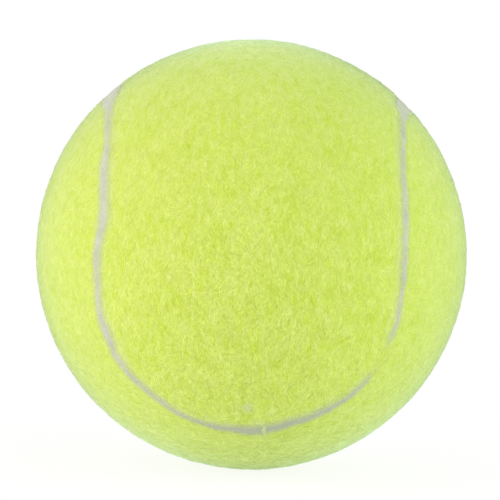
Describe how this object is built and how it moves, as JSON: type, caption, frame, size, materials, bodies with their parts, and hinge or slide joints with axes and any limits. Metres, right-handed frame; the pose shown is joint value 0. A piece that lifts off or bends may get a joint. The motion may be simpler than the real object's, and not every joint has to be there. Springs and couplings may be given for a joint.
{
  "type": "tennis ball",
  "caption": "Hollow rubber ball bonded from half-shells and covered with interlocking felt panels, with a cement seam between their edges.",
  "frame": {"origin": "the ball's centre", "axes": "+Z is the seam's fourfold roto-reflection axis, towards the neck of felt panel A; -Y is towards the centre of that panel's lobe that faces the viewer"},
  "size_m": [0.067, 0.067, 0.067],
  "materials": {
    "felt": "brushed wool and nylon felt, optic yellow",
    "seam_cement": "cured grey seam cement, matt",
    "core_rubber": "moulded and buffed natural rubber, matt",
    "bond_cement": "cured rubber cement film"
  },
  "bodies": {
    "root": {"core_half_upper": "core_rubber", "core_half_lower": "core_rubber", "core_joint_ring": "bond_cement", "cement_coat_a": "bond_cement", "cement_coat_b": "bond_cement", "felt_panel_a": "felt", "felt_panel_b": "felt", "seam_band": "seam_cement"}
  },
  "joints": []
}
